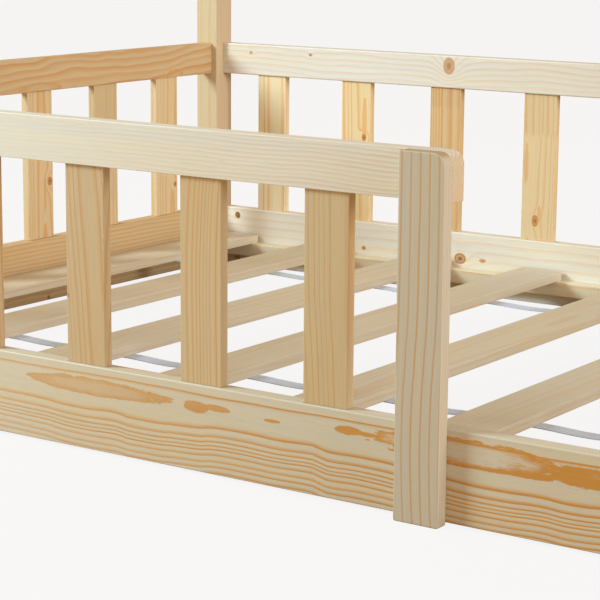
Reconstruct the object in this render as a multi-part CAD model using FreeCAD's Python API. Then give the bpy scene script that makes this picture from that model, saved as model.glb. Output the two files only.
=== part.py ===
import FreeCAD, Part
import math
import os

from FreeCAD import Vector

# Toddler floor bed in solid pine: a house frame on four corner posts, end frames whose
# rails are tenoned into the posts, side rails drawn to the posts by bolts and barrel nuts,
# fences of flat balusters stub-tenoned into the rails, and slats lying on ledges.
#
# Millimetres. X runs along the bed, Y from the front to the rear, Z up from the floor.
# The shapes are built about the middle of the mattress space and are moved at the end, so
# that the origin is the middle of the whole footprint, on the floor.

# ---------------------------------------------------------------- space between the posts
clear_length = 2004.0
clear_width = 910.0

# ------------------------------------------------------------------------ corner posts
post_size = 38.0
post_easing = 2.0
eaves_height = 1040.0

# ------------------------------------------------------------------------------ rails
rail_thickness = 19.0
rail_easing = 1.5
rail_floor_gap = 3.0
bottom_rail_height = 88.0
guard_rail_height = 46.0
guard_top_height = 342.0
side_rail_setback = 3.0
end_rail_setback = 9.5
rail_tenon_length = 16.0
rail_tenon_thickness = 9.0
rail_tenon_shoulder = 8.0

# -------------------------------------------------------------------- front guard's end
front_guard_length = 977.0
end_post_width = 48.0
end_post_thickness = 15.0
end_post_easing = 1.2
guard_corner_radius = 13.0

# --------------------------------------------------------------------------- balusters
baluster_width = 50.0
baluster_thickness = 11.0
baluster_easing = 1.0
baluster_tenon_length = 10.0
baluster_tenon_thickness = 8.0
baluster_tenon_shoulder = 4.0
front_baluster_count = 6
front_gap_at_corner = 80.0
front_gap_at_end_post = 64.0
rear_baluster_count = 13
rear_gap_at_corner = 64.0
end_baluster_count = 6
end_gap_at_corner = 80.0

# ------------------------------------------------------------------------ slatted base
ledge_width = 20.0
ledge_height = 20.0
ledge_top_height = 41.0
ledge_easing = 1.0
ledge_end_gap = 2.0
slat_width = 64.0
slat_thickness = 12.0
slat_easing = 1.5
slat_end_gap = 5.0
slat_count = 12
slat_gap_at_end_rail = 16.5
first_slat_pitch = 167.0
tape_width = 20.0
tape_thickness = 1.2
front_tape_inset = 204.0
rear_tape_inset = 188.0

# -------------------------------------------------------------------------- roof frame
roof_pitch = 42.0
ridge_beam_drop = 19.0

# ------------------------------------------------------------- corner bolts, barrel nuts
bolt_diameter = 6.0
bolt_head_diameter = 15.0
bolt_head_height = 2.5
bolt_edge_distance = 12.0
bolt_tip_past_nut_centre = 4.0
nut_diameter = 10.0
nut_length = 14.0
nut_recess = 1.5
nut_end_distance = 28.4

# -------------------------------------------------------------------------- clearances
tenon_clearance = 0.15
tenon_end_clearance = 1.0
bolt_clearance = 0.3
thread_clearance = 0.1
nut_clearance = 0.15

# ---------------------------------------------------------------------- derived places
post_in_x = clear_length / 2
post_out_x = post_in_x + post_size
post_mid_x = post_in_x + post_size / 2
post_in_y = clear_width / 2
post_out_y = post_in_y + post_size

side_rail_out_y = post_out_y - side_rail_setback
side_rail_in_y = side_rail_out_y - rail_thickness
side_rail_mid_y = side_rail_out_y - rail_thickness / 2
end_rail_out_x = post_out_x - end_rail_setback
end_rail_in_x = end_rail_out_x - rail_thickness
end_rail_mid_x = end_rail_out_x - rail_thickness / 2

bottom_rail_top = rail_floor_gap + bottom_rail_height
guard_underside = guard_top_height - guard_rail_height
bottom_rail_span = (rail_floor_gap, bottom_rail_top)
guard_rail_span = (guard_underside, guard_top_height)
slat_top_height = ledge_top_height + slat_thickness

front_guard_end_x = front_guard_length - post_in_x
end_post_left_x = front_guard_end_x - end_post_width
end_post_front_y = -side_rail_out_y - end_post_thickness

bolt_heights = (rail_floor_gap + bolt_edge_distance, bottom_rail_top - bolt_edge_distance)

pitch_angle = math.radians(roof_pitch)
ridge_height = eaves_height + post_out_y * math.tan(pitch_angle)
mitre_drop = post_size * math.tan((math.pi / 2 - pitch_angle) / 2)
eaves_rail_top = eaves_height - mitre_drop
ridge_beam_top = ridge_height - ridge_beam_drop

# Half of what the guard's end post stands out in front of the corner posts.
footprint_shift_y = (-end_post_front_y - post_out_y) / 2

X = Vector(1, 0, 0)
Y = Vector(0, 1, 0)
Z = Vector(0, 0, 1)
LEFT, RIGHT = -1, 1
FRONT, REAR = -1, 1


# ------------------------------------------------------------------------- basic forms
def span(first, second):
    """Two limits in rising order."""
    return min(first, second), max(first, second)


def block(x_span, y_span, z_span):
    """Square-edged block between three spans."""
    low = Vector(x_span[0], y_span[0], z_span[0])
    size = Vector(x_span[1], y_span[1], z_span[1]) - low
    return Part.makeBox(size.x, size.y, size.z, low)


def board(x_span, y_span, z_span, grain, easing):
    """Straight board between three spans, its long edges eased along the grain."""
    blank = block(x_span, y_span, z_span)
    long_edges = []
    for edge in blank.Edges:
        if edge.tangentAt(edge.FirstParameter).cross(grain).Length < 0.001:
            long_edges.append(edge)
    return blank.makeChamfer(easing, long_edges)


def outline_solid(corners, depth):
    """Straight-sided outline pushed through along a vector."""
    return Part.Face(Part.makePolygon(corners + [corners[0]])).extrude(depth)


def on_side(shape, side):
    """The front shape itself, or its mirror image at the rear."""
    if side == FRONT:
        return shape
    return shape.mirror(Vector(0, 0, 0), Y)


def even_centres(first, last, count):
    """Centres spread evenly from the first to the last."""
    step = (last - first) / (count - 1)
    return [first + step * index for index in range(count)]


# --------------------------------------------------------------- places of the balusters
def front_baluster_places():
    first = -post_in_x + front_gap_at_corner + baluster_width / 2
    last = end_post_left_x - front_gap_at_end_post - baluster_width / 2
    centres = even_centres(first, last, front_baluster_count)
    return [Vector(x, -side_rail_mid_y, 0) for x in centres]


def rear_baluster_places():
    last = post_in_x - rear_gap_at_corner - baluster_width / 2
    centres = even_centres(-last, last, rear_baluster_count)
    return [Vector(x, side_rail_mid_y, 0) for x in centres]


def end_baluster_places(end):
    last = post_in_y - end_gap_at_corner - baluster_width / 2
    centres = even_centres(-last, last, end_baluster_count)
    return [Vector(end * end_rail_mid_x, y, 0) for y in centres]


# ----------------------------------------------------------------------------- balusters
def upright(place, fence, width, thickness, z_span):
    """Spans of an upright of the fence: width along the fence, thickness across it."""
    across = Z.cross(fence)
    half = fence * (width / 2) + across * (thickness / 2)
    x_span = span(place.x - half.x, place.x + half.x)
    y_span = span(place.y - half.y, place.y + half.y)
    return x_span, y_span, span(*z_span)


def baluster_tenon(place, fence, face, tip, grown):
    """A baluster's stub tenon, or its mortise's cutter when it is grown."""
    width = baluster_width - 2 * baluster_tenon_shoulder + 2 * grown
    thickness = baluster_tenon_thickness + 2 * grown
    return block(*upright(place, fence, width, thickness, (face, tip)))


def baluster(place, fence):
    """Flat upright shouldered on both rails, with a stub tenon at each end."""
    z_span = (bottom_rail_top, guard_underside)
    spans = upright(place, fence, baluster_width, baluster_thickness, z_span)
    body = board(*spans, Z, baluster_easing)
    top = guard_underside + baluster_tenon_length
    foot = bottom_rail_top - baluster_tenon_length
    tenons = [
        baluster_tenon(place, fence, guard_underside, top, 0),
        baluster_tenon(place, fence, bottom_rail_top, foot, 0),
    ]
    return body.fuse(tenons)


def mortised(rail, places, fence, face, upwards):
    """Rail with a mortise for the tenon of each baluster."""
    depth = baluster_tenon_length + tenon_end_clearance
    bottom = face + depth if upwards else face - depth
    cutters = []
    for place in places:
        cutters.append(baluster_tenon(place, fence, face, bottom, tenon_clearance))
    return rail.cut(cutters)


# ---------------------------------------------------------------------------- end frames
def rail_tenon(rail_span, end, side, grown, extra_length):
    """An end rail's tenon, or its mortise's cutter, pointing into a post."""
    half = rail_tenon_thickness / 2 + grown
    x = end * end_rail_mid_x
    inset = rail_tenon_shoulder - grown
    z_span = (rail_span[0] + inset, rail_span[1] - inset)
    tip = side * (post_in_y + rail_tenon_length + extra_length)
    return block((x - half, x + half), span(side * post_in_y, tip), z_span)


def end_rail(end, rail_span, face, upwards):
    """Rail between two posts, tenoned into both and mortised for the balusters."""
    x_span = span(end * end_rail_in_x, end * end_rail_out_x)
    rail = board(x_span, (-post_in_y, post_in_y), rail_span, Y, rail_easing)
    tenons = [rail_tenon(rail_span, end, side, 0, 0) for side in (FRONT, REAR)]
    return mortised(rail.fuse(tenons), end_baluster_places(end), Y, face, upwards)


def below_mitre(end):
    """The room under the front eaves' mitre, wide enough to trim a post or a rafter."""
    x = end * post_mid_x - post_size
    reach = 4 * post_size
    slope = mitre_drop / post_size
    corners = [
        Vector(x, -post_out_y - reach, -reach),
        Vector(x, -post_out_y - reach, eaves_height + slope * reach),
        Vector(x, -post_in_y + reach, eaves_rail_top - slope * reach),
        Vector(x, -post_in_y + reach, -reach),
    ]
    return outline_solid(corners, X * 2 * post_size)


def corner_post(end, side):
    """Square post with a mitred top, mortises for the end rails and two bolt holes."""
    x_span = span(end * post_in_x, end * post_out_x)
    y_span = (-post_out_y, -post_in_y)
    blank = board(x_span, y_span, (0, eaves_height), Z, post_easing)
    post = on_side(blank.common(below_mitre(end)), side)
    cutters = []
    for rail_span in (bottom_rail_span, guard_rail_span):
        cutters.append(
            rail_tenon(rail_span, end, side, tenon_clearance, tenon_end_clearance)
        )
    for height in bolt_heights:
        cutters.append(bolt_hole(end, side, height))
    return post.cut(cutters)


# ------------------------------------------------------------- corner bolts, barrel nuts
def bolt_seat(end, side, height):
    """Middle of the ring that a bolt's head bears on, on the post's outer face."""
    return Vector(end * post_out_x, side * side_rail_mid_y, height)


def bolt_hole(end, side, height):
    """Clearance hole through the post and into the rail's end, up to the barrel nut."""
    radius = bolt_diameter / 2 + bolt_clearance
    depth = post_size + nut_end_distance + bolt_tip_past_nut_centre
    return Part.makeCylinder(radius, depth, bolt_seat(end, side, height), X * -end)


def nut_hole(end, side, height):
    """Blind cross hole from the rail's inner face."""
    radius = nut_diameter / 2 + nut_clearance
    mouth = Vector(end * (post_in_x - nut_end_distance), side * side_rail_in_y, height)
    depth = nut_recess + nut_length + nut_clearance
    return Part.makeCylinder(radius, depth, mouth, Y * side)


def corner_bolt(end, side, height):
    """Flat-headed bolt, turned about its own axis."""
    tip = post_size + nut_end_distance + bolt_tip_past_nut_centre
    head = bolt_head_diameter / 2
    shank = bolt_diameter / 2
    profile = [
        Vector(0, 0, -bolt_head_height),
        Vector(head, 0, -bolt_head_height),
        Vector(head, 0, 0),
        Vector(shank, 0, 0),
        Vector(shank, 0, tip),
        Vector(0, 0, tip),
    ]
    face = Part.Face(Part.makePolygon(profile + [profile[0]]))
    bolt = face.revolve(Vector(0, 0, 0), Z, 360)
    turn = FreeCAD.Rotation(Z, X * -end)
    bolt.Placement = FreeCAD.Placement(bolt_seat(end, side, height), turn)
    return bolt


def barrel_nut(end, side, height):
    """Cross dowel whose threaded hole meets the bolt."""
    x = end * (post_in_x - nut_end_distance)
    base = Vector(x, side * (side_rail_in_y + nut_recess), height)
    nut = Part.makeCylinder(nut_diameter / 2, nut_length, base, Y * side)
    hole_start = Vector(x - nut_diameter, side * side_rail_mid_y, height)
    hole_radius = bolt_diameter / 2 + thread_clearance
    return nut.cut(Part.makeCylinder(hole_radius, 2 * nut_diameter, hole_start, X))


def corners():
    """End, side and height of each corner bolt."""
    places = []
    for end in (LEFT, RIGHT):
        for side in (FRONT, REAR):
            for height in bolt_heights:
                places.append((end, side, height))
    return places


# ---------------------------------------------------------------------------- side rails
def side_bottom_rail(side, places):
    """Bottom rail between the posts, bored at both ends for bolts and barrel nuts."""
    y_span = span(side * side_rail_in_y, side * side_rail_out_y)
    rail = board((-post_in_x, post_in_x), y_span, bottom_rail_span, X, rail_easing)
    rail = mortised(rail, places, X, bottom_rail_top, False)
    for end in (LEFT, RIGHT):
        for height in bolt_heights:
            rail = rail.cut([bolt_hole(end, side, height), nut_hole(end, side, height)])
    return rail


def rear_guard_rail():
    """Guard rail along the whole rear fence."""
    y_span = (side_rail_in_y, side_rail_out_y)
    rail = board((-post_in_x, post_in_x), y_span, guard_rail_span, X, rail_easing)
    return mortised(rail, rear_baluster_places(), X, guard_underside, True)


def corner_waste(y_span):
    """What is taken off to round the front guard's free top corner."""
    x = front_guard_end_x - guard_corner_radius
    z = guard_top_height - guard_corner_radius
    waste = block((x, front_guard_end_x), y_span, (z, guard_top_height))
    thickness = y_span[1] - y_span[0]
    pivot = Vector(x, y_span[0], z)
    return waste.cut(Part.makeCylinder(guard_corner_radius, thickness, pivot, Y))


def front_guard_rail():
    """Guard rail of the half-length front fence, its free top corner rounded."""
    y_span = (-side_rail_out_y, -side_rail_in_y)
    x_span = (-post_in_x, front_guard_end_x)
    rail = board(x_span, y_span, guard_rail_span, X, rail_easing)
    rail = rail.cut(corner_waste(y_span))
    return mortised(rail, front_baluster_places(), X, guard_underside, True)


def guard_end_post():
    """Flat upright lapped on both front rails, its shown edges eased round the corner."""
    x_span = (end_post_left_x, front_guard_end_x)
    y_span = (end_post_front_y, -side_rail_out_y)
    blank = block(x_span, y_span, (0, guard_top_height)).cut(corner_waste(y_span))
    shown_edges = []
    for edge in blank.Edges:
        box = edge.BoundBox
        if box.YMax < end_post_front_y + 0.001 and box.ZMax > 1:
            shown_edges.append(edge)
    return blank.makeChamfer(end_post_easing, shown_edges)


# -------------------------------------------------------------------------- slatted base
def ledge(side):
    """Square batten along the inside of a side rail."""
    half_length = post_in_x - ledge_end_gap
    y_span = span(side * (side_rail_in_y - ledge_width), side * side_rail_in_y)
    z_span = (ledge_top_height - ledge_height, ledge_top_height)
    return board((-half_length, half_length), y_span, z_span, X, ledge_easing)


def slat_left_edges():
    """Even steps, but for the first and the last, which are set by themselves."""
    first = -end_rail_in_x + slat_gap_at_end_rail
    second = first + first_slat_pitch
    middle = even_centres(second, -second - slat_width, slat_count - 2)
    return [first] + middle + [-first - slat_width]


def slat(left_edge):
    half_length = side_rail_in_y - slat_end_gap
    x_span = (left_edge, left_edge + slat_width)
    z_span = (ledge_top_height, slat_top_height)
    return board(x_span, (-half_length, half_length), z_span, Y, slat_easing)


def tape(first_y):
    """Flat webbing strap under all the slats."""
    left = slat_left_edges()[0]
    z_span = (ledge_top_height - tape_thickness, ledge_top_height)
    return block((left, -left), (first_y, first_y + tape_width), z_span)


# ------------------------------------------------------------------------------ roof frame
def rafter(end, side):
    """Square rafter, mitred to its post at the eaves and cut plumb at the ridge."""
    length = post_out_y / math.cos(pitch_angle)
    x_span = span(end * post_in_x, end * post_out_x)
    y_span = (-post_size, length + post_size)
    blank = board(x_span, y_span, (-post_size, 0), Y, post_easing)
    blank.rotate(Vector(0, 0, 0), X, roof_pitch)
    blank.translate(Vector(0, -post_out_y, eaves_height))
    trim_x = (end * post_mid_x - post_size, end * post_mid_x + post_size)
    past_ridge = block(trim_x, (0, 4 * post_size), (eaves_height, 2 * ridge_height))
    return on_side(blank.cut([below_mitre(end), past_ridge]), side)


def ridge_beam():
    y_span = (-post_size / 2, post_size / 2)
    z_span = (ridge_beam_top - post_size, ridge_beam_top)
    return board((-post_in_x, post_in_x), y_span, z_span, X, post_easing)


def eaves_rail(side):
    y_span = span(side * post_in_y, side * post_out_y)
    z_span = (eaves_rail_top - post_size, eaves_rail_top)
    return board((-post_in_x, post_in_x), y_span, z_span, X, post_easing)


# --------------------------------------------------------------------------------- export
def save(name, shape):
    placed = shape.copy()
    placed.translate(Vector(0, footprint_shift_y, 0))
    placed.exportStep("parts/" + name + ".step")


def save_end_frame(end, word):
    save("end_rail_" + word, end_rail(end, bottom_rail_span, bottom_rail_top, False))
    save("end_guard_" + word, end_rail(end, guard_rail_span, guard_underside, True))
    for number, place in enumerate(end_baluster_places(end), 1):
        save(word + "_baluster_" + str(number), baluster(place, Y))


def save_posts_and_rafters():
    for end, end_word in ((LEFT, "left"), (RIGHT, "right")):
        for side, side_word in ((FRONT, "front"), (REAR, "rear")):
            save("post_" + side_word + "_" + end_word, corner_post(end, side))
            save("rafter_" + side_word + "_" + end_word, rafter(end, side))


def save_front_and_rear():
    save("side_rail_front", side_bottom_rail(FRONT, front_baluster_places()))
    save("side_rail_rear", side_bottom_rail(REAR, rear_baluster_places()))
    save("side_guard_front", front_guard_rail())
    save("side_guard_rear", rear_guard_rail())
    save("guard_end_post", guard_end_post())
    for number, place in enumerate(front_baluster_places(), 1):
        save("front_baluster_" + str(number), baluster(place, X))
    rear = [baluster(place, X) for place in rear_baluster_places()]
    save("rear_balusters", Part.makeCompound(rear))


def save_base():
    save("ledge_front", ledge(FRONT))
    save("ledge_rear", ledge(REAR))
    for number, left_edge in enumerate(slat_left_edges(), 1):
        save("slat_" + str(number), slat(left_edge))
    save("tape_front", tape(-side_rail_in_y + front_tape_inset))
    save("tape_rear", tape(side_rail_in_y - rear_tape_inset - tape_width))


def save_roof_rails():
    save("ridge_beam", ridge_beam())
    save("eaves_rail_front", eaves_rail(FRONT))
    save("eaves_rail_rear", eaves_rail(REAR))


def save_fasteners():
    save("corner_bolts", Part.makeCompound([corner_bolt(*place) for place in corners()]))
    save("barrel_nuts", Part.makeCompound([barrel_nut(*place) for place in corners()]))


os.makedirs("parts", exist_ok=True)
save_end_frame(LEFT, "left")
save_end_frame(RIGHT, "right")
save_posts_and_rafters()
save_front_and_rear()
save_base()
save_roof_rails()
save_fasteners()
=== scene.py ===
"""Toddler floor bed in clear-finished solid pine, shown in a plain pale studio."""

import math
import random

import bmesh
import bpy
from mathutils import Matrix, Vector


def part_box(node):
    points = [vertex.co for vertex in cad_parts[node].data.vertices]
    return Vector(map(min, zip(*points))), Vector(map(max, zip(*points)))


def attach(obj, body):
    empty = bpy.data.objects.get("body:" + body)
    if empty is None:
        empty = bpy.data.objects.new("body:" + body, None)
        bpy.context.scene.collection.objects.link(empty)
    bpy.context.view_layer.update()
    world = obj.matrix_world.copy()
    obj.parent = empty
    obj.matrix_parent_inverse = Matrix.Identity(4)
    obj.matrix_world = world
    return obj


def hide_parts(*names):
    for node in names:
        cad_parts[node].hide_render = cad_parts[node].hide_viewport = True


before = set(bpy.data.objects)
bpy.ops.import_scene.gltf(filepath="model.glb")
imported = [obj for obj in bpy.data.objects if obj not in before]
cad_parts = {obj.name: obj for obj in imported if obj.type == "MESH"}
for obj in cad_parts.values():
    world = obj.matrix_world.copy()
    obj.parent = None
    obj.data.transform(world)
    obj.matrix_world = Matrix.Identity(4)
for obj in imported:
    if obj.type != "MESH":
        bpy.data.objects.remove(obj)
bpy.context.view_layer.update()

MM = 0.001
X, Y, Z = Vector((1, 0, 0)), Vector((0, 1, 0)), Vector((0, 0, 1))

# how a board lies: the way its grain runs, its width and its thickness
RAIL = (X, Z, -Y)
END_RAIL = (Y, Z, X)
UPRIGHT = (Z, X, Y)
END_UPRIGHT = (Z, Y, -X)
SLAT = (Y, X, -Z)


class Tree:
    """Short calls for wiring the nodes of one finish."""

    def __init__(self, name):
        self.material = bpy.data.materials.new(name)
        self.material.use_nodes = True
        self.nodes = self.material.node_tree.nodes
        self.links = self.material.node_tree.links
        self.nodes.clear()

    def add(self, kind, **settings):
        node = self.nodes.new(kind)
        for key, value in settings.items():
            setattr(node, key, value)
        return node

    def feed(self, socket, value):
        if isinstance(value, bpy.types.NodeSocket):
            self.links.new(value, socket)
        else:
            socket.default_value = value

    def math(self, operation, first, second=0.0, third=0.0, clamp=False):
        node = self.add("ShaderNodeMath", operation=operation, use_clamp=clamp)
        for socket, value in zip(node.inputs, (first, second, third)):
            self.feed(socket, value)
        return node.outputs[0]

    def plus(self, first, second):
        return self.math("ADD", first, second)

    def minus(self, first, second):
        return self.math("SUBTRACT", first, second)

    def times(self, first, second):
        return self.math("MULTIPLY", first, second)

    def blend(self, first, second, third):
        """first times second, plus third."""
        return self.math("MULTIPLY_ADD", first, second, third)

    def vector(self, operation, first, second=(0, 0, 0)):
        node = self.add("ShaderNodeVectorMath", operation=operation)
        self.feed(node.inputs[0], first)
        self.feed(node.inputs[1], second)
        return node.outputs[1 if operation in ("LENGTH", "DOT_PRODUCT") else 0]

    def attribute(self, name):
        return self.add("ShaderNodeAttribute", attribute_name=name).outputs["Vector"]

    def parts(self, value):
        node = self.add("ShaderNodeSeparateXYZ")
        self.feed(node.inputs[0], value)
        return node.outputs

    def join(self, x, y, z):
        node = self.add("ShaderNodeCombineXYZ")
        for socket, value in zip(node.inputs, (x, y, z)):
            self.feed(socket, value)
        return node.outputs[0]

    def noise(self, place, scale=1.0, detail=2.0, roughness=0.5):
        """Smooth noise about zero, from about -0.5 to 0.5."""
        node = self.add("ShaderNodeTexNoise")
        self.feed(node.inputs["Vector"], place)
        node.inputs["Scale"].default_value = scale
        node.inputs["Detail"].default_value = detail
        node.inputs["Roughness"].default_value = roughness
        return self.minus(node.outputs["Fac"], 0.5)

    def step(self, value, low, high):
        node = self.add("ShaderNodeMapRange", interpolation_type="SMOOTHSTEP")
        for socket, number in zip(node.inputs, (value, low, high, 0.0, 1.0)):
            self.feed(socket, number)
        return node.outputs[0]

    def hump(self, square):
        """One at the middle, falling off smoothly as the squared distance grows."""
        return self.math("EXPONENT", self.times(square, -1.0))

    def curve(self, value, points):
        """Reads value through a smooth line drawn through the points."""
        start, reach = points[0][0], points[-1][0] - points[0][0]
        low = min(y for _, y in points)
        rise = max(y for _, y in points) - low
        spots = [((x - start) / reach, (y - low) / rise) for x, y in points]
        node = self.add("ShaderNodeFloatCurve")
        line = node.mapping.curves[0]
        for x, y in spots[1:-1]:
            line.points.new(x, y)
        line.points[0].location = spots[0]
        line.points[-1].location = spots[-1]
        node.mapping.update()
        self.feed(node.inputs["Value"], self.math("DIVIDE", self.minus(value, start), reach))
        return self.blend(node.outputs[0], rise, low)

    def mix(self, share, first, second, blend="MIX"):
        node = self.add("ShaderNodeMix", data_type="RGBA", blend_type=blend)
        self.feed(node.inputs[0], share)
        self.feed(node.inputs[6], first)
        self.feed(node.inputs[7], second)
        return node.outputs[2]

    def tinted(self, colour, tint):
        return self.mix(1.0, colour, tint, "MULTIPLY")

    def brighter(self, colour, amount):
        return self.tinted(colour, self.join(amount, amount, amount))

    def bump(self, height, strength):
        node = self.add("ShaderNodeBump")
        node.inputs["Strength"].default_value = strength
        node.inputs["Distance"].default_value = 0.3 * MM
        self.feed(node.inputs["Height"], height)
        return node.outputs[0]

    def finish(self, surface):
        output = self.add("ShaderNodeOutputMaterial")
        self.links.new(surface, output.inputs["Surface"])
        return self.material

    def principled(self, inputs):
        """The finished material, its shader fed by the names of the sockets."""
        node = self.add("ShaderNodeBsdfPrincipled")
        for name, value in inputs.items():
            self.feed(node.inputs[name], value)
        return self.finish(node.outputs[0])


def shade(red, green, blue):
    """A colour given as it reads on a screen, 0 to 255."""

    def linear(value):
        value /= 255
        return value / 12.92 if value <= 0.04045 else ((value + 0.055) / 1.055) ** 2.4

    return linear(red), linear(green), linear(blue), 1.0


# tints over the palest colour of the wood
LATE_WOOD = (0.92, 0.47, 0.115, 1.0)
HONEY = (0.97, 0.88, 0.66, 1.0)
BLUSH = (1.0, 0.95, 0.91, 1.0)
KNOT_WOOD = (0.86, 0.50, 0.21, 1.0)
KNOT_RIM = (0.60, 0.28, 0.09, 1.0)
END_GRAIN = (0.83, 0.69, 0.53, 1.0)
# the lighter arrises: partly wear, partly a painted highlight along the rounded edges
WEAR_AND_HIGHLIGHT = (1.02, 1.03, 1.05, 1.0)

KNOT_EYE = shade(118, 62, 28)
KNOT_SHORTNESS = 0.8
# a finger joint: half the width of a finger, and how many times that a finger is long
FINGER_WIDTH, FINGER_REACH = 2.2 * MM, 4.0
NEXT_LENGTH = (3.7, 0.012, -0.006)  # the next length's place in its log, in metres from the last one's
RINGS_BELOW = 20.0  # rings counted below a board, so that none on it has a number under zero
SWAY_FADE = 24  # millimetres over which the sway of the lines dies away
OUTSIDE = -9.0  # lower than the depth within a flame ever is


class Pine(Tree):
    """Planed pine, figured from each point's place on its board and in the log."""

    def __init__(self, name, splices):
        super().__init__(name)
        self.plank = self.attribute("plank")
        self.along, self.across, self.deep = self.parts(self.plank)
        self.ring_count, self.contrast, self.tone = self.parts(self.attribute("character"))
        self.pale = self.attribute("pale")
        self.log = self.vector("SUBTRACT", self.plank, self.attribute("heart"))
        self.lengths_past = 0.0
        if splices:
            self.join_lengths(splices)
        self.fibre = self.grain(20.0, 1400.0, 2.0, 0.6)
        self.stripe = self.grain(4.0, 420.0, 2.0)
        self.streak = self.grain(2.0, 90.0, 2.0)
        self.waver = self.grain(16.0, 90.0, 3.0)
        self.ripple = self.noise(self.vector("MULTIPLY", self.log, (6.0, 14.0, 1.0)), 1.0, 2.0)

    def join_lengths(self, splices):
        """Goes on in other wood beyond each finger joint."""
        finger = self.math("PINGPONG", self.plus(self.across, self.deep), FINGER_WIDTH)
        for splice in splices:
            beyond = self.math("GREATER_THAN", self.blend(finger, FINGER_REACH, self.along), splice * MM)
            self.lengths_past = self.plus(beyond, self.lengths_past)
        shift = self.join(*(self.times(self.lengths_past, move) for move in NEXT_LENGTH))
        self.log = self.vector("ADD", self.log, shift)

    def grain(self, along, across, detail, roughness=0.5):
        """Noise drawn out along the grain, scaled along it and across it."""
        place = self.vector("MULTIPLY", self.log, (along, across, across))
        return self.noise(place, 1.0, detail, roughness)

    def slow(self, scale, offset=(0.0, 0.0, 0.0)):
        """Broad noise in the log; another offset gives another pattern."""
        place = self.vector("MULTIPLY", self.log, (1.1, 5.0, 5.0))
        return self.noise(self.vector("ADD", place, offset), scale, 1.0)

    def rings_round_heart(self, drift, wander):
        """Growth rings counted outward from the heart of the log."""
        _, across, deep = self.parts(self.log)
        across = self.blend(self.slow(1.6), 0.022 * wander, self.blend(self.along, drift, across))
        deep = self.blend(self.slow(1.6, (7.3, 2.1, 4.4)), 0.022 * wander, deep)
        radius = self.vector("LENGTH", self.join(0.0, across, deep))
        radius = self.blend(self.ripple, 0.004 * wander, radius)
        crowding = self.noise(self.join(self.times(radius, 100.0), 3.0, 8.0), 1.0, 0.0)
        return self.blend(crowding, 1.6, self.times(radius, self.ring_count))

    def rings_across(self, lines, first_line, lean, sway, sway_below, drift, wander):
        """Growth rings counted by their lines across the face of the board."""
        bent = self.blend(self.deep, lean, self.blend(self.along, drift, self.across))
        bent = self.blend(self.slow(1.6), 0.012 * wander, bent)
        bent = self.blend(self.ripple, 0.014 * wander, bent)
        if sway:
            shift = self.curve(self.along, [(place * MM, move * MM) for place, move in sway])
            if sway_below:
                below = self.step(self.across, sway_below * MM, (sway_below - SWAY_FADE) * MM)
                shift = self.times(shift, below)
            bent = self.minus(bent, shift)
        if isinstance(lines, (int, float)):
            rings = self.math("DIVIDE", self.minus(bent, first_line * MM), lines * MM)
            return self.plus(rings, RINGS_BELOW)
        return self.curve(bent, [(place * MM, ring) for place, ring in lines])

    def bend_round_knots(self, rings, knots):
        """Bends the rings round the knots and keeps where their wood, eyes and rims are."""
        self.knot_wood, self.knot_eye, self.knot_rim = 0.0, 0.0, 0.0
        for k_along, k_across, k_radius, dark, swirl, *short in knots:
            u = self.times(self.minus(self.along, k_along * MM), short[0] if short else KNOT_SHORTNESS)
            v = self.minus(self.across, k_across * MM)
            reach = self.vector("LENGTH", self.join(u, v, 0.0))
            reach = self.math("DIVIDE", self.blend(self.waver, 0.002, reach), k_radius * MM)
            near = self.math("DIVIDE", reach, 2.4)
            rings = self.blend(self.hump(self.times(near, near)), swirl, rings)
            self.knot_wood = self.math("MAXIMUM", self.step(reach, 1.2, 0.8), self.knot_wood)
            eye = self.times(self.step(reach, 0.8, 0.2), dark)
            self.knot_eye = self.math("MAXIMUM", eye, self.knot_eye)
            edge = self.times(self.step(reach, 0.65, 0.95), self.step(reach, 1.3, 1.0))
            self.knot_rim = self.math("MAXIMUM", self.times(edge, dark), self.knot_rim)
        return rings

    def late_wood(self, rings, late_from):
        """The dark wood at the end of each ring, stronger in some rings than in others."""
        phase = self.math("FRACT", rings)
        number = self.math("FLOOR", rings)
        strength = self.noise(self.join(self.times(number, 0.71), 5.0, 2.0), 3.0, 0.0)
        late = self.times(self.step(phase, late_from, 0.97), self.step(phase, 1.0, 0.96))
        late = self.times(late, self.blend(strength, 1.6, 0.95))
        return self.math("MULTIPLY", late, self.contrast, clamp=True)

    def with_flames(self, late, flames):
        """The late wood together with the islands where the saw skimmed a ring of it."""
        torn = self.noise(self.vector("MULTIPLY", self.plank, (55.0, 260.0, 260.0)), 1.0, 5.0, 0.68)
        depth, opened = OUTSIDE, 0.0
        for f_along, f_across, half_length, half_width, hollow in flames:
            u = self.math("DIVIDE", self.minus(self.along, f_along * MM), half_length * MM)
            v = self.math("DIVIDE", self.minus(self.across, f_across * MM), half_width * MM)
            inside = self.minus(1.0, self.blend(u, u, self.times(v, v)))
            inside = self.blend(torn, 1.6, inside)
            depth = self.math("MAXIMUM", inside, depth)
            if hollow:
                opening = self.times(self.step(inside, 0.12, 0.95), hollow)
                opened = self.math("MAXIMUM", opening, opened)
        skimmed = self.times(self.step(depth, 0.0, 0.12), self.minus(0.76, opened))
        skimmed = self.math("MULTIPLY", skimmed, self.plus(self.contrast, 0.1), clamp=True)
        return self.math("MAXIMUM", late, skimmed)

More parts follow.
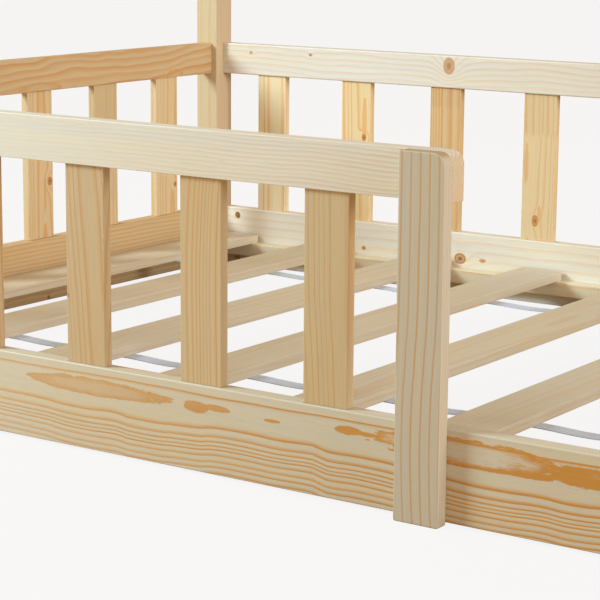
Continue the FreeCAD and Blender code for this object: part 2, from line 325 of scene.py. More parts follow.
    def coloured(self, late):
        """The colour of the wood without its knots."""
        honey = self.blend(self.slow(3.1), 1.3, self.blend(self.streak, 1.1, 0.25))
        honey = self.math("MULTIPLY", self.plus(honey, self.times(self.stripe, 0.5)), 0.7, clamp=True)
        colour = self.mix(honey, self.pale, self.tinted(self.pale, HONEY))
        blush = self.math("MULTIPLY", self.slow(2.2, (1.7, 9.1, 6.2)), 2.4, clamp=True)
        colour = self.mix(blush, colour, self.tinted(colour, BLUSH))
        dark = self.tinted(self.pale, LATE_WOOD)
        colour = self.mix(late, colour, dark)
        dash = self.step(self.grain(55.0, 900.0, 0.0), 0.24, 0.34)
        colour = self.mix(self.times(dash, 0.22), colour, dark)
        light = self.blend(self.fibre, 0.16, self.tone)
        light = self.blend(self.stripe, 0.12, light)
        light = self.blend(self.streak, 0.12, light)
        light = self.blend(self.lengths_past, -0.05, light)
        return self.brighter(colour, light)

    def with_knots(self, colour):
        knot_colour = self.mix(self.knot_eye, self.tinted(self.pale, KNOT_WOOD), KNOT_EYE)
        colour = self.mix(self.times(self.knot_wood, 0.88), colour, knot_colour)
        return self.mix(self.knot_rim, colour, self.tinted(self.pale, KNOT_RIM))

    def near_edge(self, half, place):
        """Rises from 0 to 1 towards the edge of the board, that half its size away."""
        return self.step(self.minus(half, self.math("ABSOLUTE", place)), 2.0 * MM, 0.3 * MM)

    def lacquered(self, colour, late):
        """The finished wood, planed and with a clear coat."""
        # end grain drinks more of the finish; the arrises are a little lighter, partly as wear and partly as
        # a painted highlight
        facing = self.add("ShaderNodeNewGeometry").outputs["Normal"]
        end = self.math("ABSOLUTE", self.vector("DOT_PRODUCT", facing, self.attribute("grain_way")))
        end = self.step(end, 0.55, 0.9)
        colour = self.mix(end, colour, self.tinted(self.mix(0.4, colour, self.pale), END_GRAIN))
        _, half_width, half_depth = self.parts(self.attribute("half"))
        arris = self.times(self.near_edge(half_width, self.across), self.near_edge(half_depth, self.deep))
        arris = self.times(arris, self.blend(self.streak, 1.4, 0.8))
        arris = self.math("MULTIPLY", arris, self.minus(1.0, end), clamp=True)
        # painted highlight and wear on the arrises: lighter and whiter towards the board's edges
        colour = self.mix(self.times(arris, 0.6), colour, self.tinted(self.pale, WEAR_AND_HIGHLIGHT))

        # the late wood stands a little proud and shines more
        height = self.blend(self.fibre, 0.6, self.times(late, 0.6))
        rough = self.blend(self.fibre, 0.12, self.blend(late, -0.08, 0.5))
        return self.principled(
            {
                "Base Color": colour,
                "Roughness": self.blend(end, 0.15, rough),
                "Normal": self.bump(height, 0.16),
                "Specular IOR Level": 0.4,
                "Coat Weight": 0.1,
                "Coat Roughness": 0.3,
            }
        )


def pine(
    name,
    lines=None,
    first_line=0.0,
    lean=0.0,
    sway=None,
    sway_below=None,
    drift=0.0,
    wander=1.0,
    jag=0.05,
    late_from=0.55,
    knots=(),
    flames=(),
    splices=(),
):
    """One kind of pine board.

    lines: spacing of the growth lines across the board in millimetres, or
        (place across the board, growth ring) pairs; without it the rings
        lie round the heart that each board records
    first_line: where across the board one of the evenly spaced lines lies
    lean: how much the lines move across the board through its thickness
    sway: (place along the board, shift of the lines across it) pairs
    sway_below: the place across the board above which the lines don't sway
    drift, wander, jag: steady slope, slow bends and fine waver of the lines
    late_from: how far into a growth ring the dark late wood starts
    knots: (along, across, radius, darkness, swirl) on the board, in millimetres,
        and as a sixth number, if it isn't the usual one, how short it is along the grain
    flames: (along, across, half length, half width, hollow) of the islands
        where the saw skimmed a ring of late wood
    splices: places along the board where two lengths are finger-jointed
    """
    wood = Pine(name, splices)
    if lines is None:
        rings = wood.rings_round_heart(drift, wander)
    else:
        rings = wood.rings_across(lines, first_line, lean, sway, sway_below, drift, wander)
    rings = wood.bend_round_knots(wood.blend(wood.waver, jag, rings), knots)
    late = wood.late_wood(rings, late_from)
    if flames:
        late = wood.with_flames(late, flames)
    colour = wood.coloured(late)
    if knots:
        colour = wood.with_knots(colour)
    return wood.lacquered(colour, late)


def zinc_plate():
    tree = Tree("zinc_plate")
    place = tree.add("ShaderNodeTexCoord").outputs["Object"]
    spangle = tree.noise(place, 700.0, 2.0)
    scuff = tree.noise(place, 220.0, 4.0, 0.7)
    return tree.principled(
        {
            "Base Color": tree.brighter(shade(200, 202, 205), tree.blend(spangle, 0.3, 0.95)),
            "Roughness": tree.blend(scuff, 0.3, 0.32),
            "Metallic": 1.0,
        }
    )


def turned_brass():
    tree = Tree("turned_brass")
    place = tree.add("ShaderNodeTexCoord").outputs["Object"]
    tarnish = tree.noise(place, 260.0, 3.0)
    tooling = tree.noise(place, 2400.0, 1.0)
    dull = tree.mix(tree.blend(tarnish, 1.2, 0.4), shade(222, 186, 104), shade(168, 128, 66))
    return tree.principled(
        {
            "Base Color": tree.brighter(dull, tree.blend(tooling, 0.25, 1.0)),
            "Roughness": tree.blend(tarnish, 0.35, 0.36),
            "Metallic": 1.0,
        }
    )


def woven_webbing():
    """Webbing woven in a zigzag twill."""
    half_zigzag, twill_pitch, warp_pitch = 2.5 * MM, 1.5 * MM, 1.0 * MM
    tree = Tree("woven_webbing")
    place = tree.add("ShaderNodeTexCoord").outputs["Object"]
    x, y, _ = tree.parts(place)
    slant = tree.math("PINGPONG", y, half_zigzag)
    twill = tree.math("SINE", tree.times(tree.plus(slant, x), 2 * math.pi / twill_pitch))
    warp = tree.math("SINE", tree.times(y, 2 * math.pi / warp_pitch))
    weave = tree.blend(twill, 0.5, tree.times(warp, 0.3))
    soil = tree.noise(tree.vector("MULTIPLY", place, (12.0, 60.0, 0.0)), 1.0, 3.0)
    fuzz = tree.noise(tree.vector("MULTIPLY", place, (1500.0, 1500.0, 0.0)), 1.0, 2.0)
    light = tree.blend(weave, 0.09, tree.blend(soil, 0.16, tree.blend(fuzz, 0.12, 0.96)))
    return tree.principled(
        {
            "Base Color": tree.brighter(shade(202, 214, 238), light),
            "Roughness": tree.blend(fuzz, 0.2, 0.8),
            "Normal": tree.bump(weave, 0.5),
            "Sheen Weight": 0.3,
        }
    )


# ---- tools for making pieces

TOUCHING = 1e-7  # metres; a corner nearer than this to a plane lies on it
ROUND = 36  # sides of a turned piece or a drilled hole
CORNER_SOFTENING = 1.3  # of its rounding, at the square corners of a board that has a round one
END_ROUNDING = 0.6 * MM
DRILL_START = 1 * MM  # how far outside the board a drill starts


def block(size):
    """A square-edged block about its own middle."""
    bm = bmesh.new()
    bmesh.ops.create_cube(bm, size=1.0)
    bmesh.ops.scale(bm, vec=size, verts=bm.verts)
    return bm


def add_bar(bm, radius, length, place):
    """Adds a round bar along z, its middle put in place by a matrix."""
    bmesh.ops.create_cone(
        bm, cap_ends=True, segments=ROUND, radius1=radius, radius2=radius, depth=length, matrix=place
    )


def soften(bm, edges, offset, segments):
    """Rounds edges over."""
    bmesh.ops.bevel(
        bm, geom=edges, offset=offset, segments=segments, profile=0.5, affect="EDGES", material=-1
    )


def scribe(bm, point, normal, **more):
    """Draws new edges where a plane meets a piece."""
    geometry = bm.verts[:] + bm.edges[:] + bm.faces[:]
    return bmesh.ops.bisect_plane(bm, geom=geometry, dist=TOUCHING, plane_co=point, plane_no=normal, **more)


def runs(edge, way):
    """Whether an edge makes any way along an axis."""
    return abs((edge.verts[0].co - edge.verts[1].co).dot(way)) > TOUCHING


def rounded_board(size, rounding, corner=0.0):
    """A board about its own middle: length along x, width along y, thickness along z.

    corner is the radius of the outline's far upper corner.
    """
    bm = block(size)
    end, side = size[0] / 2, size[1] / 2
    if corner:
        upright = [e for e in bm.edges if runs(e, Z)]
        square = [e for e in upright if not all(v.co.x > 0 and v.co.y > 0 for v in e.verts)]
        soften(bm, square, CORNER_SOFTENING * rounding, 4)
        far = [e for e in bm.edges if all(abs(v.co.x - end) + abs(v.co.y - side) < TOUCHING for v in e.verts)]
        soften(bm, far, corner, 16)
        soften(bm, [e for e in bm.edges if not runs(e, Z)], rounding, 4)
        scribe(bm, (end - corner, 0, 0), X)
        scribe(bm, (0, side - corner, 0), Y)
    else:
        soften(bm, [e for e in bm.edges if runs(e, X)], rounding, 5)
        ends = [e for e in bm.edges if all(abs(abs(v.co.x) - end) < TOUCHING for v in e.verts)]
        soften(bm, [e for e in ends if not runs(e, X)], END_ROUNDING, 2)
    return bm


def saw_off(bm, point, normal):
    """Saws the board through a plane and keeps what lies behind it."""
    cut = scribe(bm, point, normal, clear_outer=True)
    rim = [g for g in cut["geom_cut"] if isinstance(g, bmesh.types.BMEdge)]
    bmesh.ops.edgeloop_fill(bm, edges=rim)


def face_outward(bm):
    """Turns the faces the same way, and all of them round if that way is inward."""
    bmesh.ops.recalc_face_normals(bm, faces=bm.faces)
    if bm.calc_volume(signed=True) < 0:
        bmesh.ops.reverse_faces(bm, faces=bm.faces)


def new_mesh(name, bm):
    mesh = bpy.data.meshes.new(name)
    bm.to_mesh(mesh)
    bm.free()
    return mesh


def show(name, data):
    """Puts a mesh, a lamp or a camera into the scene."""
    item = bpy.data.objects.new(name, data)
    bpy.context.scene.collection.objects.link(item)
    return item


def drilled(mesh, holes):
    """The mesh with round holes drilled into it."""
    board = show("board_to_drill", mesh)
    drill = show("drill", holes)
    drilling = board.modifiers.new("drilling", "BOOLEAN")
    drilling.operation = "DIFFERENCE"
    drilling.solver = "EXACT"
    drilling.object = drill
    graph = bpy.context.evaluated_depsgraph_get()
    result = bpy.data.meshes.new_from_object(board.evaluated_get(graph))
    bpy.data.objects.remove(board)
    bpy.data.objects.remove(drill)
    return result


def placed(mouth, way):
    """A matrix that puts a piece made along z at a point, facing a way."""
    turn = Z.rotation_difference(way).to_matrix().to_4x4()
    return Matrix.Translation(mouth) @ turn


def spot(x, y, z, way):
    """A place given in millimetres, and the way that a fitting or a hole's mouth there faces."""
    return Vector((x, y, z)) * MM, way


def drills(places, diameter, depth):
    """The round bars that holes are drilled with."""
    bm = bmesh.new()
    for mouth, way in places:
        middle = mouth - way * ((depth - DRILL_START) / 2)
        add_bar(bm, diameter / 2, depth + DRILL_START, placed(middle, way))
    return new_mesh("drill", bm)


def lay_board(
    name,
    node,
    centre,
    size,
    way,
    rounding,
    finish,
    pale,
    slot="pine",
    corner=0.0,
    saws=(),
    holes=None,
    heart=(0.0, 30.0),
    rings=300.0,
    contrast=1.0,
    tone=1.0,
):
    """Makes one board in its place and records its grain on the mesh."""
    chance = random.Random(name)
    place = Matrix.Translation(centre) @ Matrix(way).transposed().to_4x4()
    bm = rounded_board(size, rounding, corner)
    bm.transform(place)
    for point, normal in saws:
        saw_off(bm, point, normal)
    face_outward(bm)
    mesh = new_mesh(name, bm)
    if holes:
        mesh = drilled(mesh, holes)
        mesh.name = name
    home = place.inverted()
    planks = [home @ v.co for v in mesh.vertices]
    count = len(planks)
    near, far = contrast if isinstance(contrast, tuple) else (contrast, contrast)
    contrasts = [near + (far - near) * (plank.x / size[0] + 0.5) for plank in planks]
    values = {
        "plank": [c for plank in planks for c in plank],
        "heart": (-chance.uniform(0, 40), heart[0] * MM, heart[1] * MM) * count,
        "character": [value for strength in contrasts for value in (rings, strength, tone)],
        "pale": tuple(pale[:3]) * count,
        "half": tuple(value / 2 for value in size) * count,
        "grain_way": tuple(way[0]) * count,
    }
    for key, numbers in values.items():
        layer = mesh.attributes.new(key, "FLOAT_VECTOR", "POINT")
        layer.data.foreach_set("vector", numbers)
    mesh.shade_smooth()
    mesh.set_sharp_from_angle(angle=math.radians(50))
    mesh.materials.append(finish)
    return stand(name, mesh, node)


def stand(name, mesh, node):
    """Puts a finished piece into the scene in place of its CAD node, if it has one."""
    piece = show(name, mesh)
    shading = piece.modifiers.new("even_shading", "WEIGHTED_NORMAL")
    shading.keep_sharp = True
    shading.weight = 100
    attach(piece, "root")
    if node:
        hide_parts(node)
    return piece


def board_for(node, way, rounding, finish, pale, tenon=0.0, **more):
    """The board that stands for a node, up to the shoulders of its tenons."""
    low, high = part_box(node)
    size = Vector([abs((high - low).dot(axis)) for axis in way])
    size.x -= 2 * tenon
    return lay_board(node + "_board", node, (low + high) / 2, size, way, rounding, finish, pale, **more)


# ---- finishes: the frame's boards, as each is figured

plain_pine = pine("pine_plain")
splice_pine = pine("pine_finger_jointed", splices=(-60, 34))
slat_pine = pine("pine_slat", late_from=0.5, wander=0.7)
front_rail_pine = pine(
    "pine_front_rail",
    lines=[
        (-52, 12), (-48, 11), (-44.5, 10), (-41, 9), (-35, 8), (-29.5, 7), (-23, 6), (-17.5, 5),
        (-14, 4), (-10, 3), (-5, 2), (3.5, 1), (8, 0.5), (14, 0.25), (21, 0.12), (31, 0.2),
        (37, 0.5), (40, 1), (44, 1.12), (50, 1.3),
    ],
    lean=0.5,
    sway=[
        (-1002, 1), (-800, -2), (-660, 2), (-510, 1.2), (-462, -1), (-415, 0.2), (-396, -1.8), (-344, 0),
        (-307, 1.8), (-258, 5), (-210, 3.8), (-176, 4.5), (-153, 0.8), (-119, 2), (-83, 1.3), (-22, -2),
        (30, -3.3), (70, -2.3), (100, -4), (129, -3), (260, 1), (420, -2), (600, 3), (800, -1), (1002, 2),
    ],
    sway_below=34,
    wander=0.4,
    jag=0.1,
    late_from=0.35,
    flames=[
        (-440, 22.5, 96, 9, 0.35), (-510, 23, 26, 4.4, 0), (-354, 25, 15, 1.6, 0),
        (-311, 21.5, 17, 6, 0), (-288, 23.5, 18, 3.4, 0), (-220, 21.2, 10, 1.8, 0),
        (-133, 25.7, 16, 4.2, 0), (-112, 25, 16, 2.2, 0), (-8, 25, 101, 13, 0.85), (5, 15.5, 92, 4.5, 0),
        (112, 21.5, 34, 10, 0), (160, 25, 62, 6, 0.2), (430, 20, 90, 7, 0.4), (640, 23, 60, 5, 0),
    ],
)
end_post_pine = pine(
    "pine_end_post",
    lines=9.6,
    first_line=-44,
    lean=3.2,
    sway=[(-171, -1.5), (-131, -4), (-91, -5), (-21, -2.5), (37, 0), (171, 0.5)],
    wander=0.3,
    jag=0.04,
    late_from=0.7,
)
front_guard_pine = pine("pine_front_guard", lines=4.3, lean=0.6, wander=0.8, jag=0.3, late_from=0.2)
rear_guard_pine = pine(
    "pine_rear_guard",
    lines=8.5,
    lean=0.6,
    wander=1.4,
    jag=0.1,
    late_from=0.35,
    knots=[
        (-949, 10.6, 2.4, 0.6, 0.6), (-840, 12.2, 2.2, 0.8, 0.6), (-601.8, 8.4, 10.5, 0.6, 2.4, 1.3),
        (-210, -6, 5.0, 0.5, 1.2), (330, 9, 3.0, 0.7, 0.6), (700, -4, 8.0, 0.4, 1.8),
    ],
)
rear_rail_pine = pine(
    "pine_rear_rail",
    lines=13,
    lean=0.6,
    late_from=0.4,
    knots=[
        (-741.5, 4.6, 2.6, 0.9, 0.6), (-576.6, 6.2, 6.8, 1.0, 1.6), (-539.5, 6.8, 2.6, 0.6, 0.4, 0.5),
        (160, -14, 5.0, 0.6, 0.8), (610, 12, 4.0, 0.7, 0.7),
    ],
)
end_guard_pine = pine(
    "pine_end_guard",
    lines=11.5,
    lean=0.5,
    drift=-0.05,
    wander=2.6,
    jag=0.16,
    late_from=0.15,
    flames=[
        (365, -20, 22, 9, 0.55), (258, -24, 60, 5, 0.2), (68, -20, 46, 9, 0.55), (-190, -14, 80, 8, 0.55),
    ],
)
end_rail_pine = pine(
    "pine_end_rail",
    lines=6.0,
    lean=0.5,
    wander=0.8,
    jag=0.12,
    late_from=0.3,
    knots=[(77.6, -40, 2.4, 0.8, 0.6)],
)

BALUSTER_FINISHES = {
    "front_baluster_4": pine("pine_baluster_lobed", drift=0.06, knots=[(-33.5, -24, 2.2, 0.3, 0.5)]),
    "front_baluster_5": pine(
        "pine_baluster_fine",
        lines=[
            (-31, 0), (-25, 1), (-14, 2), (-8, 3), (-3, 4), (1, 5), (5, 6), (9, 7), (13, 8), (21, 9),
            (31, 10),
        ],
        sway=[(-103, 0), (0, -1.5), (60, 0), (103, 3)],
        wander=0.3,
    ),
    "front_baluster_6": pine(
        "pine_baluster_bold",
        lines=[
            (-45, 0), (-39, 1), (-33, 2), (-27, 3), (-20, 4), (-13.6, 5), (-8.5, 6), (-3, 7), (3.6, 8),
            (32, 9),
        ],
        sway=[(-103, 8), (-60, 5.5), (0, 1.5), (50, 0.5), (103, 0)],
        wander=0.3,
        late_from=0.7,
    ),
    "left_baluster_4": pine(
        "pine_baluster_knot_high", knots=[(-23.7, 18.5, 4.2, 0.9, 1.5)], flames=[(-42, 8, 26, 2.4, 0)]
    ),
    "left_baluster_6": pine(
        "pine_baluster_knot_low", knots=[(-58.6, 18.8, 2.6, 0.8, 0.5)], flames=[(20, 20, 90, 2.6, 0)]
    ),
    "rear_baluster_2": pine(
        "pine_baluster_knot_edge", knots=[(21.5, 15, 3.4, 1.0, 1.2)], flames=[(46, 15, 36, 4, 0.2)]
    ),
    "rear_baluster_3": pine(
        "pine_baluster_joined",
        lines=[(-25, 0), (-22, 1), (-18, 2), (-14, 3), (-9, 4), (-4, 5), (12, 6), (25, 7)],
        wander=0.3,
        late_from=0.35,
        splices=(78.5,),
    ),
    "rear_baluster_4": pine(
        "pine_baluster_knot_mid",
        knots=[(-74.9, -2.9, 4.2, 0.7, 0.8, 0.6)],
        flames=[(4, -19, 30, 3.5, 0), (-64, 3, 12, 3, 0)],
        splices=(50,),
    ),
}
zinc = zinc_plate()
brass = turned_brass()
webbing = woven_webbing()

# ---- the fences and the frame

EASED = 2.0 * MM  # the usual rounding of an arris
GUARD_CORNER = 13 * MM
RAIL_TENON, BALUSTER_TENON = 16 * MM, 10 * MM

# the barrel nuts' cross holes in the side rails, in millimetres
NUT_X, NUT_HEIGHTS = 973.6, (15.0, 79.0)
NUT_HOLE_WIDTH, NUT_HOLE_DEPTH = 10.3, 16


def inner_faces(front, rear):
    """Where a front and a rear board face into the bed, in millimetres, and which way."""
    return (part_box(front)[1].y / MM, Y), (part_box(rear)[0].y / MM, -Y)


def nut_holes(face, way):
    places = [spot(side * NUT_X, face, z, way) for side in (-1, 1) for z in NUT_HEIGHTS]
    return drills(places, NUT_HOLE_WIDTH * MM, NUT_HOLE_DEPTH * MM)


FRONT_RAIL_FACE, REAR_RAIL_FACE = inner_faces("side_rail_front", "side_rail_rear")
board_for(
    "side_rail_front",
    RAIL,
    1.4 * MM,
    front_rail_pine,
    shade(213, 206, 189),
    contrast=(0.35, 2.2),
    holes=nut_holes(*FRONT_RAIL_FACE),
)
board_for(
    "side_rail_rear",
    RAIL,
    EASED,
    rear_rail_pine,
    shade(239, 238, 232),
    contrast=0.22,
    holes=nut_holes(*REAR_RAIL_FACE),
)
board_for("side_guard_rear", RAIL, EASED, rear_guard_pine, shade(229, 227, 223), contrast=0.3)
board_for(
    "side_guard_front",
    RAIL,
    0.9 * MM,
    front_guard_pine,
    shade(228, 227, 221),
    contrast=(-0.25, 0.44),
    corner=GUARD_CORNER,
)
board_for(
    "guard_end_post",
    UPRIGHT,
    1.6 * MM,
    end_post_pine,
    shade(202, 194, 179),
    contrast=0.72,
    corner=GUARD_CORNER,
)
END_RAIL_LOOK = {"finish": end_rail_pine, "pale": shade(211, 187, 147), "contrast": 0.5}
END_GUARD_LOOK = {"finish": end_guard_pine, "pale": shade(207, 183, 145), "contrast": 0.6}
for side in ("left", "right"):
    board_for(f"end_rail_{side}", END_RAIL, EASED, tenon=RAIL_TENON, **END_RAIL_LOOK)
    board_for(f"end_guard_{side}", END_RAIL, EASED, tenon=RAIL_TENON, **END_GUARD_LOOK)
BEAM_TONE = shade(212, 194, 164)
BEAM_LOOK = {"finish": plain_pine, "pale": BEAM_TONE, "rings": 210, "contrast": 0.4}
LEDGE_TONE = shade(236, 228, 206)
for where in ("front", "rear"):
    board_for(
        f"ledge_{where}", RAIL, 1.2 * MM, slat_pine, LEDGE_TONE, slot="slat_pine", rings=240, contrast=0.3
    )
    board_for(f"eaves_rail_{where}", RAIL, EASED, heart=(46, 20), **BEAM_LOOK)
board_for("ridge_beam", RAIL, EASED, heart=(-46, 20), **BEAM_LOOK)


def baluster_look(name, finish, tone=1.0):
    """The finish and the place in the log of one baluster, the same each time."""
    chance = random.Random(name)
    return {
        "finish": BALUSTER_FINISHES.get(name, finish),
        "rounding": 0.8 * MM,
        "heart": (chance.uniform(-40, 40), chance.uniform(14, 40)),
        "rings": chance.uniform(150, 230),
        "contrast": chance.uniform(0.35, 0.6),
        "tone": tone * chance.uniform(0.97, 1.03),
    }


STRONGER = 1.3  # the growth lines of the left, right and rear balusters against the front ones'
FRONT_BALUSTER_TONES = {4: shade(205, 182, 147), 5: shade(206, 184, 148), 6: shade(211, 190, 153)}
for n in range(1, 7):
    name = f"front_baluster_{n}"
    pale = FRONT_BALUSTER_TONES.get(n, shade(210, 188, 150))
    board_for(name, UPRIGHT, pale=pale, tenon=BALUSTER_TENON, **baluster_look(name, plain_pine))
for side in ("left", "right"):
    for n in range(1, 7):
        name = f"{side}_baluster_{n}"
        look = baluster_look(name, splice_pine if n in (2, 5) else plain_pine)
        look["contrast"] *= STRONGER
        board_for(name, END_UPRIGHT, pale=shade(219, 197, 158), tenon=BALUSTER_TENON, **look)

REAR_BALUSTER_TONES = {1: shade(236, 222, 188), 2: shade(235, 214, 170), 3: shade(217, 190, 146)}
REAR_BALUSTERS, BALUSTER_WIDTH = 13, 50 * MM
low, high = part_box("rear_balusters")
rear_size = Vector((high.z - low.z - 2 * BALUSTER_TENON, BALUSTER_WIDTH, high.y - low.y))
spacing = (high.x - low.x - BALUSTER_WIDTH) / (REAR_BALUSTERS - 1)
for n in range(1, REAR_BALUSTERS + 1):
    name = f"rear_baluster_{n}"
    centre = (low + high) / 2
    centre.x = low.x + BALUSTER_WIDTH / 2 + (n - 1) * spacing
    look = baluster_look(name, splice_pine if n % 3 == 0 else plain_pine)
    look["contrast"] *= STRONGER
    pale = REAR_BALUSTER_TONES.get(n, shade(229, 207, 167))
    lay_board(name, "rear_balusters", centre, rear_size, UPRIGHT, pale=pale, **look)

SLATS = range(1, 13)
for n in SLATS:
    chance = random.Random(n)
    board_for(
        f"slat_{n}",
        SLAT,
        1.0 * MM,
        slat_pine,
        shade(212, 203, 184),
        slot="slat_pine",
        heart=(chance.uniform(-40, 40), chance.uniform(16, 50)),
        rings=chance.uniform(150, 260),
        contrast=chance.uniform(0.2, 0.35),
        tone=chance.uniform(0.97, 1.03),
    )

# ---- posts and rafters, sawn to one mitre at the eaves

PITCH = math.radians(42)
RAFTER_BLANK = 840 * MM  # a rafter's length before both ends are sawn
BLANK_MIDDLE = 320 * MM  # how far up from the knee at the eaves the middle of that length lies
RIDGE_JOINT = sum(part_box("ridge_beam"), Vector()) / 2
POST_LOOK = {"finish": plain_pine, "pale": BEAM_TONE, "heart": (34, 30), "rings": 190, "contrast": 0.3}
for where, sign in (("front", 1), ("rear", -1)):
    mitre = Vector((0, sign * math.tan(math.pi / 4 - PITCH / 2), 1)).normalized()
    slope = Vector((0, sign * math.cos(PITCH), math.sin(PITCH)))
    above = Vector((0, -sign * math.sin(PITCH), math.cos(PITCH)))
    for side in ("left", "right"):
        node = f"post_{where}_{side}"
        low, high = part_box(node)
        section = high.x - low.x
        knee = Vector(((low.x + high.x) / 2, low.y if where == "front" else high.y, high.z))
        board_for(node, UPRIGHT, EASED, saws=[(knee, mitre)], **POST_LOOK)
        node = f"rafter_{where}_{side}"
        lay_board(
            node + "_board",
            node,
            knee + slope * BLANK_MIDDLE - above * (section / 2),
            Vector((RAFTER_BLANK, section, section)),
            (slope, above, slope.cross(above)),
            EASED,
            saws=[(knee, -mitre), (RIDGE_JOINT, Y * sign)],
            **POST_LOOK,
        )


# ---- metal fittings


def highest_face(faces):
    """The largest of the faces that lie highest."""
    return max(faces, key=lambda f: (round(f.calc_center_median().z, 6), f.calc_area()))


def turned_blank(radius, foot, top):
    """A short round bar along z, its top rim softened."""
    bm = bmesh.new()
    add_bar(bm, radius, top - foot, Matrix.Translation((0, 0, (top + foot) / 2)))
    soften(bm, [e for e in bm.edges if all(v.co.z > top - TOUCHING for v in e.verts)], radius * 0.1, 3)
    return bm


def sink(bm, face, depth):
    """Presses a recess the shape of a face into its piece."""
    floor = bmesh.ops.extrude_discrete_faces(bm, faces=[face])["faces"][0]
    bmesh.ops.translate(bm, vec=(0, 0, -depth), verts=floor.verts)
    bmesh.ops.poke(bm, faces=[floor])


def socket_head(radius, height, key):
    """A flat screw or bolt head with a hexagon socket, key wide across its flats."""
    bm = turned_blank(radius, 0, height)
    crown = highest_face(bm.faces)
    bmesh.ops.inset_region(bm, faces=[crown], thickness=radius * 0.9 - key * 0.6, use_even_offset=True)
    for vert in crown.verts:
        angle = math.atan2(vert.co.y, vert.co.x)
        reach = key / 2 / math.cos(angle % math.radians(60) - math.radians(30))
        vert.co.x, vert.co.y = reach * math.cos(angle), reach * math.sin(angle)
    sink(bm, crown, height * 0.7)
    return bm


def slotted_nut(radius, length):
    """A barrel nut, its face slotted for a screwdriver."""
    half_width, rim, depth = 0.7 * MM, 0.15 * MM, 1.2 * MM
    bm = turned_blank(radius, -length, 0)
    for side in (-1, 1):
        scribe(bm, (side * half_width, 0, 0), X)
    slot = highest_face([f for f in bm.faces if abs(f.calc_center_median().x) < 0.1 * MM])
    bmesh.ops.inset_region(bm, faces=[slot], thickness=rim, use_even_offset=True)
    sink(bm, slot, depth)
    return bm


def fittings(name, one, places, finish, node=None):
    """Copies of one fitting, each facing its own way, as one piece."""
    face_outward(one)
    single = new_mesh("one_of_" + name, one)
    bm = bmesh.new()
    for mouth, way in places:
        count = len(bm.verts)
        bm.from_mesh(single)
        bm.verts.ensure_lookup_table()
        bmesh.ops.transform(bm, matrix=placed(mouth, way), verts=bm.verts[count:])
    bpy.data.meshes.remove(single)
    mesh = new_mesh(name, bm)
    mesh.set_sharp_from_angle(angle=math.radians(40))
    mesh.materials.append(finish)
    return stand(name, mesh, node)


def middle_of(node):
    """The middle of a CAD node, in millimetres."""
    return sum(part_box(node), Vector()) / 2 / MM


def sunk(face, way, depth):
    """A place across the bed, in millimetres, this deep behind a face."""
    return face - way.y * depth


# places of the fittings, in millimetres
ENDS = ((-1, -X), (1, X))
POST_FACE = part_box("post_front_right")[1].x / MM
RAIL_MIDDLES = (middle_of("side_rail_front").y, middle_of("side_rail_rear").y)
NUT_SUNK, SCREW_SUNK = 1.5, 1.1
POST_SCREW_HEIGHTS = (319, 1004)
RIDGE_SCREW_HEIGHTS = (1438, 1454)
END_POST_SCREW_HEIGHTS = (28, 66, 307, 331)
LEDGE_SCREWS = (-841, -487, -133, 221, 575, 928)
fittings(
    "bolt_heads",
    socket_head(7.5 * MM, 2.5 * MM, 4 * MM),
    [spot(side * POST_FACE, y, z, way) for side, way in ENDS for y in RAIL_MIDDLES for z in NUT_HEIGHTS],
    zinc,
    node="corner_bolts",
)
fittings(
    "slotted_nuts",
    slotted_nut(5 * MM, 14 * MM),
    [
        spot(side * NUT_X, sunk(face, way, NUT_SUNK), z, way)
        for side in (-1, 1)
        for face, way in (FRONT_RAIL_FACE, REAR_RAIL_FACE)
        for z in NUT_HEIGHTS
    ],
    brass,
    node="barrel_nuts",
)
screw_x = POST_FACE - SCREW_SUNK
post_screws = [
    spot(side * screw_x, y, z, way) for side, way in ENDS for y in RAIL_MIDDLES for z in POST_SCREW_HEIGHTS
]
ridge_y = middle_of("ridge_beam").y
ridge_screws = [spot(side * screw_x, ridge_y, z, way) for side, way in ENDS for z in RIDGE_SCREW_HEIGHTS]
end_post_x = middle_of("guard_end_post").x
face, way = FRONT_RAIL_FACE
end_post_screws = [spot(end_post_x, sunk(face, way, SCREW_SUNK), z, way) for z in END_POST_SCREW_HEIGHTS]
ledge_z = middle_of("ledge_front").z
ledge_screws = [
    spot(x, sunk(face, way, SCREW_SUNK), ledge_z, way)
    for x in LEDGE_SCREWS
    for face, way in inner_faces("ledge_front", "ledge_rear")
]
fittings(
    "wood_screws",
    socket_head(3.7 * MM, 1.3 * MM, 2.4 * MM),
    post_screws + ridge_screws + end_post_screws + ledge_screws,
    zinc,
)


# ---- webbing under the slats


TAPE_CUTS = 359  # crosswise, so that the sag is smooth
TAPE_SAG = 1.6 * MM


def webbing_tape(node):
    """A woven tape that sags a little between the slats."""
    low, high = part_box(node)
    bm = block(high - low)
    soften(bm, [e for e in bm.edges if runs(e, X)], 0.5 * MM, 2)
    long_edges = [e for e in bm.edges if runs(e, X)]
    bmesh.ops.subdivide_edges(bm, edges=long_edges, cuts=TAPE_CUTS, use_grid_fill=True)
    bmesh.ops.translate(bm, vec=(low + high) / 2, verts=bm.verts)
    slats = sorted((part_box(f"slat_{n}")[0].x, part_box(f"slat_{n}")[1].x) for n in SLATS)
    for (_, gap_start), (gap_end, _) in zip(slats, slats[1:]):
        for vert in bm.verts:
            share = (vert.co.x - gap_start) / (gap_end - gap_start)
            if 0 < share < 1:
                vert.co.z -= TAPE_SAG * math.sin(math.pi * share) ** 2
    mesh = new_mesh(node + "_webbing", bm)
    mesh.shade_smooth()
    mesh.materials.append(webbing)
    stand(node + "_webbing", mesh, node)


webbing_tape("tape_front")
webbing_tape("tape_rear")


STAPLE_PROUD = 0.2  # millimetres from the tape to the middle of a staple's back


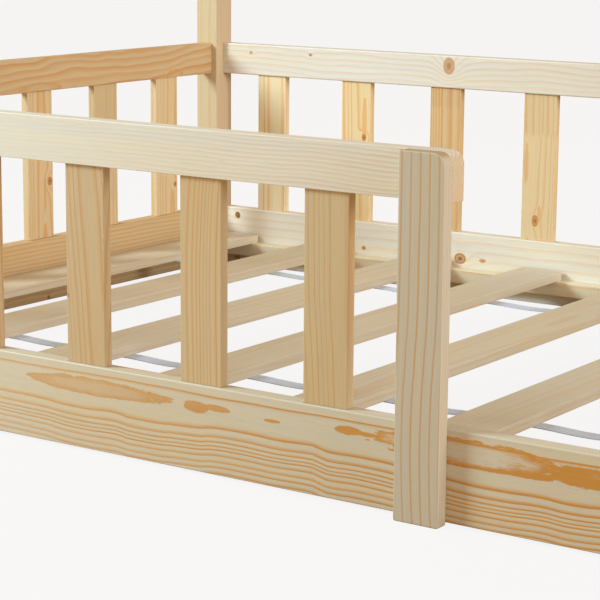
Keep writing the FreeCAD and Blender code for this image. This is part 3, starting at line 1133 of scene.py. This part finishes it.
def staple():
    """A wire staple, its back at the top and its legs going down."""
    back, leg_inside, leg_length, shoulder = Vector((1.2, 11.0, 0.7)) * MM, 4.7 * MM, 5 * MM, 0.3 * MM
    bm = block(back)
    for side in (-1, 1):
        scribe(bm, (0, side * leg_inside, 0), Y)
    feet = [f for f in bm.faces if f.normal.z < -0.9 and abs(f.calc_center_median().y) > leg_inside]
    for foot in bmesh.ops.extrude_discrete_faces(bm, faces=feet)["faces"]:
        bmesh.ops.translate(bm, vec=(0, 0, -leg_length), verts=foot.verts)
    ends = [e for e in bm.edges if all(abs(v.co.y) > back.y / 2 - TOUCHING for v in e.verts)]
    soften(bm, [e for e in ends if all(v.co.z > 0 for v in e.verts)], shoulder, 3)
    return bm


def staple_spots(tape):
    """The places under the middles of the slats, on the underside of a tape."""
    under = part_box(tape)[0].z / MM - STAPLE_PROUD
    return [spot(middle_of(f"slat_{n}").x, middle_of(tape).y, under, -Z) for n in SLATS]


fittings("staples", staple(), staple_spots("tape_front") + staple_spots("tape_rear"), zinc)


# ---- studio


def photo_camera():
    """The photograph's camera, fitted to the edges of the boards."""
    place = Vector((883.47, -2027.90, 560.58)) * MM
    yaw, pitch, roll = 0.606848, 0.194581, 0.0076468
    ahead = Vector((-math.sin(yaw) * math.cos(pitch), math.cos(yaw) * math.cos(pitch), -math.sin(pitch)))
    level = Vector((math.cos(yaw), math.sin(yaw), 0))
    upright = level.cross(ahead)
    right = level * math.cos(roll) + upright * math.sin(roll)
    up = upright * math.cos(roll) - level * math.sin(roll)
    lens = bpy.data.cameras.new("camera")
    lens.lens = 122.684
    lens.sensor_width = 36
    lens.clip_end = 50
    camera = show("camera", lens)
    turn = Matrix((right, up, -ahead)).transposed().to_4x4()
    camera.matrix_world = Matrix.Translation(place) @ turn
    bpy.context.scene.camera = camera


def lamp(name, place, aim, width, power, colour):
    light = bpy.data.lights.new(name, "AREA")
    light.shape = "DISK"
    light.size = width
    light.energy = power
    light.color = colour
    turn = (Vector(aim) - Vector(place)).to_track_quat("-Z", "Y").to_matrix().to_4x4()
    show(name, light).matrix_world = Matrix.Translation(place) @ turn


def soft_room():
    """Even, slightly warm light from all sides, with the backdrop's own colour to the eye."""
    world = bpy.data.worlds.new("studio")
    bpy.context.scene.world = world
    world.use_nodes = True
    nodes, links = world.node_tree.nodes, world.node_tree.links
    nodes.clear()
    output = nodes.new("ShaderNodeOutputWorld")
    rays = nodes.new("ShaderNodeLightPath")
    room = nodes.new("ShaderNodeBackground")
    room.inputs[0].default_value = (1.0, 0.76, 0.53, 1)
    room.inputs[1].default_value = 0.54
    seen = nodes.new("ShaderNodeBackground")
    seen.inputs[0].default_value = shade(248, 247, 245)
    seen.inputs[1].default_value = 1.0
    blend = nodes.new("ShaderNodeMixShader")
    links.new(rays.outputs["Is Camera Ray"], blend.inputs[0])
    links.new(room.outputs[0], blend.inputs[1])
    links.new(seen.outputs[0], blend.inputs[2])
    links.new(blend.outputs[0], output.inputs[0])


def studio_floor():
    """A pale floor that takes the bed's shadow lightly."""
    bm = bmesh.new()
    bmesh.ops.create_grid(bm, x_segments=1, y_segments=1, size=14)
    floor = show("studio_floor", new_mesh("studio_floor", bm))
    tree = Tree("studio_floor")
    rays = tree.add("ShaderNodeLightPath")
    paper = tree.add("ShaderNodeBsdfDiffuse")
    paper.inputs[0].default_value = shade(198, 178, 152)
    glow = tree.add("ShaderNodeEmission")
    glow.inputs[0].default_value = shade(253, 253, 253)
    blend = tree.add("ShaderNodeMixShader")
    tree.feed(blend.inputs[0], tree.times(rays.outputs["Is Camera Ray"], 0.9))
    tree.links.new(paper.outputs[0], blend.inputs[1])
    tree.links.new(glow.outputs[0], blend.inputs[2])
    floor.data.materials.append(tree.finish(blend.outputs[0]))


photo_camera()
BED_MIDDLE = (-0.5, 0.0, 0.2)
lamp("key", (-2.54, -1.77, 1.67), BED_MIDDLE, 1.1, 86, (0.76, 0.95, 1.0))
lamp("fill", (4.5, -0.6, 1.4), BED_MIDDLE, 1.6, 165, (0.94, 0.98, 1.0))
soft_room()
studio_floor()
bpy.context.scene.view_settings.view_transform = "Standard"
